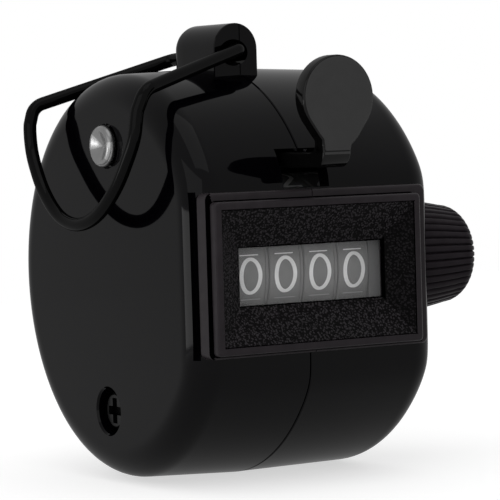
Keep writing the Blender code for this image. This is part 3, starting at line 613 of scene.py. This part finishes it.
def build_window(looks):
    """The bezel with its grained funnel, and the clear plate behind it."""
    cx, cz = bezel_centre
    depth = window_y - bezel_front_y

    def half(inset):
        """Half sizes of the bezel, drawn in."""
        return (bezel_half[0] - inset, bezel_half[1] - inset)

    def funnel(t):
        """Half sizes of the funnel, from 0 at the front to 1 at the window."""
        return tuple(f + (w - f) * t for f, w in zip(funnel_half, window_half))

    rings = [rectangle_ring(bezel_centre, spigot_half, spigot_end_y, 0.35),
             rectangle_ring(bezel_centre, spigot_half, flange_back_y, 0.35),
             rectangle_ring(bezel_centre, bezel_half, flange_back_y, 0.45),
             rectangle_ring(bezel_centre, bezel_half, bezel_front_y + 0.35, 0.45)]
    for i in range(1, 6):
        angle = math.pi / 2 * i / 5
        inset = 0.3 * (1 - math.cos(angle))
        y = bezel_front_y + 0.35 - 0.35 * math.sin(angle)
        rings.append(rectangle_ring(bezel_centre, half(inset), y, 0.45 - inset * 0.6))
    rings.append(rectangle_ring(bezel_centre, half(0.4), bezel_front_y, 0.25))
    rings.append(rectangle_ring(bezel_centre, half(bezel_rim), bezel_front_y, 0.12))
    rings.append(rectangle_ring(bezel_centre, half(bezel_rim + 0.05), bezel_front_y + 0.06, 0.1))
    step_y = bezel_front_y + rim_step
    rings.append(rectangle_ring(bezel_centre, half(bezel_rim + 0.07), step_y, 0.08))
    rings.append(rectangle_ring(bezel_centre, funnel(0.0), step_y, 0.08))
    for t in (0.15, 0.5, 0.88, 0.97, 1.0):
        rings.append(rectangle_ring(bezel_centre, funnel(t), step_y + (depth - rim_step) * t,
                                    0.08))
    rings.append(rectangle_ring(bezel_centre, window_half, spigot_end_y, 0.08))

    def pick(centre):
        """0 on the rim, 1 on the grained sides, 2 on the right grained side darkened as painted
        shade, 3 on the painted shade lines round them.
        """
        across = centre.x - cx
        inside = abs(across) < bezel_half[0] - bezel_rim - 0.03
        inside = inside and abs(centre.z - cz) < bezel_half[1] - bezel_rim - 0.03
        if not inside or centre.y > window_y + 0.02:
            return 0
        right = across > window_half[0] + abs(centre.z - cz) - window_half[1]
        # Painted shade lines at the step and round the window, wider on the right
        if centre.y < step_y + 0.005 or centre.y > window_y - (0.16 if right else 0.06):
            return 3
        return 2 if right else 1

    bezel = add("window_bezel_detail", loft(rings, closed=True),
                [looks["rim"], looks["grain"], looks["painted_shade_grain"], looks["gap"]], pick)
    finish_piece(bezel, "case", ["window_bezel"], 24)
    lens_half = (spigot_half[0] - 0.05, spigot_half[1] - 0.05)
    rings = []
    for inset, y in ((0.4, lens_front_y), (0.08, lens_front_y), (0.0, lens_front_y + 0.08),
                     (0.0, lens_back_y - 0.08), (0.08, lens_back_y), (0.4, lens_back_y)):
        rings.append(rectangle_ring(bezel_centre, (lens_half[0] - inset, lens_half[1] - inset), y,
                                    0.3))
    finish_piece(add("lens_detail", loft(rings), [looks["lens"]]), "case",
                 ["window_lens"])


# Ring and lever

def fillet(corner, before, after, radius, steps):
    """Points of a round corner between two straight runs."""
    corner = Vector(corner)
    into = (Vector(before) - corner).normalized()
    out = (Vector(after) - corner).normalized()
    half_angle = math.acos(max(-1.0, min(1.0, into.dot(out)))) / 2
    reach = radius / math.tan(half_angle)
    centre = corner + (into + out).normalized() * radius / math.sin(half_angle)
    start = corner + into * reach - centre
    end = corner + out * reach - centre
    total = start.angle(end)
    return [centre + (start * math.sin(total * (1 - i / steps))
                      + end * math.sin(total * i / steps)) / math.sin(total)
            for i in range(steps + 1)]


def smooth_through(points, steps):
    """A smooth run through all points but the first and the last."""
    result = []
    for p0, p1, p2, p3 in zip(points, points[1:], points[2:], points[3:]):
        for i in range(steps):
            t = i / steps
            result.append(0.5 * (2 * p1 + (p2 - p0) * t + (2 * p0 - 5 * p1 + 4 * p2 - p3) * t ** 2
                                 + (3 * p1 - p0 - 3 * p2 + p3) * t ** 3))
    return result


def ring_path():
    """The wire's centre line: through the lug, down both strands and round the loop."""
    pivot = Vector(ring_hinge)
    hinge = Vector((pivot.x, 0.0, pivot.z))
    corner = hinge + Vector((0.0, 6.85, 0.0))
    fold = Vector((-15.75, 11.55, 18.15))
    sides = [Vector(p) for p in ((-16.5, 11.2, 16.25), (-16.75, 10.65, 13.55),
                                 (-17.0, 9.25, 11.15), (-17.2, 7.5, 9.0), (-17.4, 5.05, 7.0),
                                 (-17.5, 2.65, 5.9))]
    bottom = Vector((-17.55, 0.0, 5.5))
    mirror = Vector((sides[-1].x, -sides[-1].y, sides[-1].z))
    half = fillet(corner, hinge, fold, 1.1, 12)
    half += fillet(fold, corner, sides[0], 1.8, 12)
    half += smooth_through([fold, *sides, bottom, mirror], 8)
    other = [Vector((p.x, -p.y, p.z)) for p in half[::-1]]
    lean = Matrix.Rotation(math.radians(-3.0), 3, "X")
    return [pivot + lean @ (p - hinge) for p in [*half, bottom, *other]]


def swept(path, radius, count=24):
    """A closed round wire along a path, its sections carried round without twisting."""
    total = len(path)
    along = [(path[(i + 1) % total] - path[i - 1]).normalized() for i in range(total)]
    across = along[0].orthogonal().normalized()
    rings = []
    for point, direction in zip(path, along):
        across = (across - direction * across.dot(direction)).normalized()
        other = direction.cross(across)
        rings.append([tuple(point + (across * math.cos(2 * math.pi * j / count)
                                     + other * math.sin(2 * math.pi * j / count)) * radius)
                      for j in range(count)])
    first = Vector(rings[0][0]) - path[0]
    carried = (across - along[0] * across.dot(along[0])).normalized()
    first.normalize()
    turn = math.atan2(along[0].dot(carried.cross(first)), carried.dot(first))
    evened = []
    for i, (point, direction) in enumerate(zip(path, along)):
        cos_part = math.cos(turn * i / total)
        sin_part = math.sin(turn * i / total)
        spokes = [Vector(p) - point for p in rings[i]]
        evened.append([tuple(point + v * cos_part + direction.cross(v) * sin_part)
                       for v in spokes])
    return loft(evened, closed=True)


def build_ring(looks):
    """The bent wire finger ring."""
    ring = add("ring_detail", swept(ring_path(), ring_wire_radius), [looks["wire"]])
    finish_piece(ring, "ring", ["finger_ring"], 60)


def pad_outline(steps=44):
    """The thumb pad: round above, drawn in to its neck below."""
    centre = (-0.7, 17.5)
    radius = 4.1
    neck_z = 12.1
    droop = math.radians(38)
    outline = []
    for i in range(steps + 1):
        angle = -droop + (math.pi + 2 * droop) * i / steps
        outline.append((centre[0] + radius * math.cos(angle), centre[1] + radius * math.sin(angle)))
    left = seam_x - arm_half_width
    right = seam_x + arm_half_width
    outline += [(left - 0.5, 13.9), (left - 0.08, 13.4), (left, 12.8), (left, neck_z)]
    outline += [(right, neck_z), (right + 0.15, 12.8), (right + 0.9, 13.5)]
    return outline


def build_lever(looks):
    """The thumb lever: pad, bent arm and hub tube in one piece, and its inner tail."""
    rise_z = 14.3
    pad = rounded_slab(pad_outline(), pad_front_y, pad_back_y, 0.28, lambda y, x, z: (x, y, z))
    arm = [(-8.0, 14.1), (-13.2, 12.3), (-17.3, 12.2)]
    under = [(-17.3, 10.7), (-13.6, 10.9), (-8.0, 12.4)]
    bends = (((pad_back_y, 12.2), arm[-1], (pad_back_y, rise_z), 0.9),
             ((pad_front_y, 10.7), (pad_front_y, rise_z), under[0], 1.5))
    outline = list(arm)
    for i, (corner, before, after, radius) in enumerate(bends):
        lifted = [Vector((*p, 0.0)) for p in (corner, before, after)]
        outline += [(p.x, p.y) for p in fillet(*lifted, radius, 10)]
        if i == 0:
            outline += [(pad_back_y - 0.1, rise_z), (pad_front_y + 0.1, rise_z)]
    outline += under
    arm_part = rounded_slab(outline, seam_x - arm_half_width, seam_x + arm_half_width, 0.22,
                            lambda x, y, z: (x, y, z))
    near, beyond = hub_ends
    hub = turned(((near, hub_bore), (near, hub_radius - 0.15), (near + 0.15, hub_radius),
                  (beyond - 0.15, hub_radius), (beyond, hub_radius - 0.15), (beyond, hub_bore)),
                 lever_pivot, True)
    tail_path = [Vector(p) for p in (lever_pivot, (-4.7, 9.9), (0.5, 7.5), (6.5, 8.0))]
    sides = ([], [])
    for i, point in enumerate(tail_path):
        before = tail_path[max(i - 1, 0)]
        after = tail_path[min(i + 1, 3)]
        direction = (after - before).normalized()
        across = Vector((-direction.y, direction.x))
        sides[0].append(tuple(point + across))
        sides[1].append(tuple(point - across))
    tip = tail_path[-1]
    end = [(tip.x + math.sin(math.pi * i / 10), tip.y + math.cos(math.pi * i / 10))
           for i in range(1, 10)]
    outline = sides[0] + end + sides[1][::-1]
    tail = rounded_slab(outline, *tail_sides, 0.1, lambda x, y, z: (x, y, z), 3)
    lever = add("lever_detail", joined(pad, arm_part, hub), [looks["lever"], looks["pad"]],
                lambda centre: 1 if centre.y < pad_front_y + 0.03 else 0)
    finish_piece(lever, "lever", ["thumb_lever"])
    tail_part = add("lever_tail", tail, [looks["lever"]])
    cut(tail_part, turned(((8.0, 0.7), (10.0, 0.7)), tip))
    finish_piece(tail_part, "lever")


# Number wheels

def arc_points(cx, cy, rx, ry, start, end, steps=18):
    """Points on part of an oval, angles in degrees."""
    return [(cx + rx * math.cos(math.radians(start + (end - start) * i / steps)),
             cy + ry * math.sin(math.radians(start + (end - start) * i / steps)))
            for i in range(steps + 1)]


def figure_strokes(digit, w=1.1, h=1.67):
    """Strokes of a figure about its middle, from half width w and half height h."""
    q = h / 2
    if digit == 0:
        return [arc_points(0, 0, w, h, 90, 450, 48)]
    if digit == 1:
        return [[(-0.5 * w, 0.62 * h), (0.1 * w, h), (0.1 * w, -h)]]
    if digit == 2:
        return [arc_points(0, h - w * 0.95, w * 0.9, w * 0.95, 165, -35, 18)
                + [(-w * 0.95, -h), (w, -h)]]
    if digit == 3:
        return [arc_points(-0.1 * w, q, 0.95 * w, q, 140, -90)
                + arc_points(-0.1 * w, -q, w, q, 90, -140)]
    if digit == 4:
        return [[(0.45 * w, -h), (0.45 * w, h), (-w, -0.35 * h), (w, -0.35 * h)]]
    if digit == 5:
        return [[(0.85 * w, h), (-0.7 * w, h), (-0.8 * w, 0.1 * h)]
                + arc_points(-0.1 * w, -0.38 * h, w, 0.6 * h, 115, -140)]
    if digit in (6, 9):
        shape = [arc_points(0.5 * w, 0, 1.45 * w, h, 100, 180, 12)
                 + arc_points(0, -0.4 * h, w, 0.6 * h, 180, 540, 30)]
        return shape if digit == 6 else [[(-x, -y) for x, y in stroke] for stroke in shape]
    if digit == 7:
        return [[(-w, h), (w, h), (0.1 * w, -0.1 * h), (-0.25 * w, -h)]]
    return [arc_points(0, 0.5 * h, 0.85 * w, 0.5 * h, -90, 270, 30),
            arc_points(0, -0.48 * h, w, 0.52 * h, 90, 450, 30)]


def ribbon(stroke, width, on_wheel):
    """A flat painted line along a stroke, laid on the wheel by on_wheel(u, v)."""
    fine = []
    for a, b in zip(stroke, stroke[1:]):
        steps = max(1, int(math.dist(a, b) / 0.35))
        fine += [Vector(a).lerp(Vector(b), i / steps) for i in range(steps)]
    fine.append(Vector(stroke[-1]))
    closed = math.dist(stroke[0], stroke[-1]) < 1e-6
    if closed:
        fine.pop()
    total = len(fine)
    points = []
    for i, point in enumerate(fine):
        before = fine[i - 1] if closed or i else point
        after = fine[(i + 1) % total] if closed or i < total - 1 else point
        direction = (after - before).normalized()
        across = Vector((-direction.y, direction.x)) * width * (0.72 + 0.28 * abs(direction.y)) / 2
        points.append(on_wheel(*(point + across)))
        points.append(on_wheel(*(point - across)))
    faces = []
    for i in range(total if closed else total - 1):
        j = (i + 1) % total
        faces.append((2 * i, 2 * i + 1, 2 * j + 1, 2 * j))
    return points, faces


def build_wheels(looks):
    """The four number wheels with their gear rings, figures and marks."""
    for index, name in enumerate(("thousands", "hundreds", "tens", "units")):
        centre_x = wheels_centre_x + wheel_pitch * (index - 1.5)
        half = wheel_half_width
        neck = 2.4
        seat_end = half + 0.7 if name == "units" else half
        seat_radius = 2.1 if name == "units" else neck
        profile = [(-half, wheel_bore), (-half, neck), (-web_half, neck),
                   (-web_half, rim_inner_radius), (-half, rim_inner_radius),
                   (-half, wheel_radius - 0.1), (-half + 0.1, wheel_radius),
                   (half - 0.1, wheel_radius), (half, wheel_radius - 0.1),
                   (half, rim_inner_radius), (web_half, rim_inner_radius), (web_half, neck),
                   (half, neck), (half, seat_radius), (seat_end, seat_radius),
                   (seat_end, wheel_bore)]
        shapes = [turned([(centre_x + x, r) for x, r in profile], wheel_axis, True, 120)]
        if name != "units":
            teeth = []
            count = 8 * gear_teeth
            for x in (centre_x + 0.4, centre_x + 1.75):
                ring = []
                for i in range(count):
                    angle = 2 * math.pi * i / count + pinion_side
                    wave = math.cos(gear_teeth * (angle - pinion_side))
                    radius = gear_radius + tooth_half_height * wave
                    ring.append((x, wheel_axis[0] + radius * math.cos(angle),
                                 wheel_axis[1] + radius * math.sin(angle)))
                teeth.append(ring)
            outer = [circle(x, rim_inner_radius + 0.1, wheel_axis, count)
                     for x in (centre_x + 1.75, centre_x + 0.4)]
            # The outer rings start on the pinion's side too
            shift = round(count * pinion_side / (2 * math.pi))
            shapes.append(loft(teeth + [ring[shift:] + ring[:shift] for ring in outer],
                               closed=True))
        wheel = add(f"{name}_wheel_detail", joined(*shapes), [looks["wheel"]])
        finish_piece(wheel, name, [f"{name}_wheel"])
        paint = []
        marks = []
        for digit in range(10):
            turn = math.radians(36 * digit)

            def on_wheel(u, v, lift=0.02, turn=turn):
                """The point on the wheel's face u across and v up from the figure's middle."""
                angle = turn + (v - 0.5) / wheel_radius
                radius = wheel_radius + lift
                return (centre_x + u, wheel_axis[0] - radius * math.cos(angle),
                        wheel_axis[1] + radius * math.sin(angle))

            for stroke in figure_strokes(digit):
                paint.append(ribbon(stroke, 0.46, on_wheel))
            paint.append(ribbon([(-1.2, 2.08), (0.95, 2.08)], 0.15, on_wheel))
            marks.append(ribbon([(-1.2, -2.35), (1.25, -2.35)], 0.14, on_wheel))
        figures = add(f"{name}_figures", joined(*paint), [looks["figure"]])
        finish_piece(figures, name)
        dashes = add(f"{name}_marks", joined(*marks), [looks["mark"]])
        finish_piece(dashes, name)


# Small outside pieces

def build_rivet(looks):
    """The rivet: domed head on the left, closed end on the right."""
    x0 = left_face_x - 0.1
    tail_x = right_face_x + 0.1
    head = [(x0 - 0.3, 0.15), (x0 - 0.62, 1.25), (x0 - 0.8, 1.55), (x0 - 0.84, 1.75)]
    head += [(x0 - 0.74, 1.94), (x0 - 0.5, 2.1), (x0 - 0.2, 2.15), (x0, 2.1), (x0, 1.2)]
    head += [(tail_x, 1.2), (tail_x, 1.8), (tail_x + 0.3, 1.8), (tail_x + 0.48, 1.5),
             (tail_x + 0.5, 1.0)]

    def painted_reflection_wedge(centre):
        """1 on the head's wedges painted lighter: a painted reflection."""
        angle = math.atan2(centre.z - rivet_place[1], centre.y - rivet_place[0])
        return 1 if math.sin(2 * angle + 0.9) > 0.55 else 0

    rivet = add("rivet_detail", turned(head, rivet_place, False, 64),
                [looks["rivet"], looks["rivet_painted_reflection"]], painted_reflection_wedge)
    finish_piece(rivet, "case", ["case_rivet"], 40)


def build_screw(looks):
    """The cross-head screw at the bottom of its recess."""
    top = -13.35
    screw = [(top, 0.5), (top, 1.62), (top + 0.08, 1.74), (top + 0.3, 1.9), (-12.1, 1.95),
             (-12.1, 1.15), (6.7, 1.15), (7.5, 0.45)]
    piece = add("screw_detail", turned(screw, screw_place), [looks["screw"]])
    for half_y, half_z in ((1.25, 0.44), (0.44, 1.3)):
        cut(piece, box((top - 1.0, screw_place[0] - half_y, screw_place[1] - half_z),
                       (top + 0.8, screw_place[0] + half_y, screw_place[1] + half_z)))
    finish_piece(piece, "case", ["case_screw"])


def build_knob(looks):
    """The ribbed knob: broad crests with narrow grooves between them."""
    ribs = 44
    per_rib = 10
    count = ribs * per_rib
    start_x = right_face_x + 1.8
    tip_x = 25.0
    full = 6.0
    end = 5.2
    bend = 2.0
    bend_x = tip_x - bend
    layout = [(start_x, full - 0.25, 0.0), (start_x + 0.12, full - 0.1, 0.6),
              (start_x + 0.3, full, 1.0)]
    for i in range(1, 7):
        share = i / 6
        layout.append((start_x + 0.3 + (bend_x - start_x - 0.3) * share,
                       full - (full - end) * share ** 1.6, 1.0))
    for i in range(1, 13):
        angle = math.pi / 2 * i / 12
        layout.append((bend_x + bend * math.sin(angle), end - bend * (1 - math.cos(angle)),
                       max(0.0, 1.0 - (i / 12) ** 3)))
    layout.append((tip_x, 2.4, 0.0))
    rings = []
    for x, radius, share in layout:
        ring = []
        for i in range(count):
            angle = 2 * math.pi * i / count
            wave = 0.5 - 0.5 * math.cos(ribs * angle)
            r = radius - 0.34 * share * wave ** 5
            ring.append((x, wheel_axis[0] + r * math.cos(angle),
                         wheel_axis[1] + r * math.sin(angle)))
        rings.append(ring)
    knob = add("knob_detail", loft(rings), [looks["knob"]])
    finish_piece(knob, "knob", ["reset_knob"], 50)


def paint_inner(looks):
    """Materials of the CAD nodes that keep their own shape."""
    kinds = {
        "plate": ("left_frame_plate", "right_frame_plate"),
        "steel": ("front_tie_bar", "rear_tie_bar", "lever_pin", "ratchet_wheel", "drive_pawl",
                  "drive_pawl_pin", "stop_pawl", "stop_pawl_pin", "wheel_shaft"),
        "spring": ("shaft_clip", "lever_spring", "drive_pawl_spring", "stop_pawl_spring"),
        "brass": ("rivet_spacer",),
        "nylon": ("knob_washer", "tens_pinion", "hundreds_pinion", "thousands_pinion"),
        "wheel": ("tens_carrier", "hundreds_carrier", "thousands_carrier"),
    }
    for look, names in kinds.items():
        for name in names:
            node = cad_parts[name]
            node.data.materials.clear()
            node.data.materials.append(looks[look])


# Stage, light and camera

def seen_share(tree):
    """1 for camera, glossy and transmission rays, 0 for the rest."""
    path = tree.nodes.new("ShaderNodeLightPath")
    total = path.outputs["Is Camera Ray"]
    for name in ("Is Glossy Ray", "Is Transmission Ray"):
        either = tree.nodes.new("ShaderNodeMath")
        either.operation = "MAXIMUM"
        tree.links.new(total, either.inputs[0])
        tree.links.new(path.outputs[name], either.inputs[1])
        total = either.outputs["Value"]
    return total


def stage_material():
    """Pale paper that glows for the camera, for mirrors and through clear pieces."""
    material, tree, shader, place = new_material("floor_paper")
    shader.inputs["Roughness"].default_value = 0.9
    shader.inputs["Specular IOR Level"].default_value = 0.1
    two_colours(tree, noise(tree, place, 60.0, 2.0).outputs["Fac"], shader.inputs["Base Color"],
                (0.0, (0.5, 0.5, 0.5)), (1.0, (0.53, 0.53, 0.53)))
    share = tree.nodes.new("ShaderNodeMath")
    share.operation = "MULTIPLY"
    share.inputs[1].default_value = floor_glow
    tree.links.new(seen_share(tree), share.inputs[0])
    tree.links.new(share.outputs["Value"], shader.inputs["Emission Strength"])
    shader.inputs["Emission Color"].default_value = (1.0, 1.0, 1.0, 1.0)
    return material


def build_stage():
    """The floor, just under the case."""
    a = floor_half
    z = -drum_radius - 0.02
    corners = [(-a, -a, z), (a, -a, z), (a, a, z), (-a, a, z)]
    add("floor", (corners, [(0, 1, 2, 3)]), [stage_material()])


def area_lamp(name, place, target, size, power):
    """A rectangular lamp at a place, turned to its target."""
    data = bpy.data.lights.new(name, "AREA")
    data.shape = "RECTANGLE"
    data.size = size[0] * MM
    data.size_y = size[1] * MM
    data.energy = power
    lamp = bpy.data.objects.new(name, data)
    lamp.location = Vector(place) * MM
    direction = Vector(target) - Vector(place)
    lamp.rotation_euler = direction.to_track_quat("-Z", "Y").to_euler()
    bpy.context.scene.collection.objects.link(lamp)


def build_light():
    """The lamps, and a world that is white where it is seen and softer where it only lights."""
    for name, values in lamps.items():
        area_lamp(name, *values)
    world = bpy.data.worlds.new("studio")
    bpy.context.scene.world = world
    world.use_nodes = True
    tree = world.node_tree
    tree.nodes.clear()
    out = tree.nodes.new("ShaderNodeOutputWorld")
    shown = tree.nodes.new("ShaderNodeBackground")
    shown.inputs["Color"].default_value = (1.0, 1.0, 1.0, 1.0)
    room = tree.nodes.new("ShaderNodeBackground")
    room.inputs["Color"].default_value = (0.7, 0.7, 0.7, 1.0)
    mix = tree.nodes.new("ShaderNodeMixShader")
    tree.links.new(seen_share(tree), mix.inputs["Fac"])
    tree.links.new(room.outputs["Background"], mix.inputs[1])
    tree.links.new(shown.outputs["Background"], mix.inputs[2])
    tree.links.new(mix.outputs["Shader"], out.inputs["Surface"])


def build_camera():
    """The camera at the photo's angle."""
    back = Vector((-math.sin(camera_turn) * math.cos(camera_lift),
                   -math.cos(camera_turn) * math.cos(camera_lift), math.sin(camera_lift)))
    level = Vector((math.cos(camera_turn), -math.sin(camera_turn), 0.0))
    above = back.cross(level)
    right = level * math.cos(camera_roll) - above * math.sin(camera_roll)
    up = above * math.cos(camera_roll) + level * math.sin(camera_roll)
    data = bpy.data.cameras.new("camera")
    data.lens = camera_lens
    data.sensor_width = 36.0
    data.shift_x, data.shift_y = camera_shift
    data.clip_start = 0.01
    data.clip_end = 20.0
    camera = bpy.data.objects.new("camera", data)
    spin = Matrix((right, up, back)).transposed().to_4x4()
    camera.matrix_world = Matrix.Translation(back * camera_distance * MM) @ spin
    bpy.context.scene.collection.objects.link(camera)
    bpy.context.scene.camera = camera
    bpy.context.scene.view_settings.view_transform = "Standard"


looks = make_looks()
build_case(looks)
build_window(looks)
build_ring(looks)
build_lever(looks)
build_wheels(looks)
build_rivet(looks)
build_screw(looks)
build_knob(looks)
paint_inner(looks)
build_stage()
build_light()
build_camera()
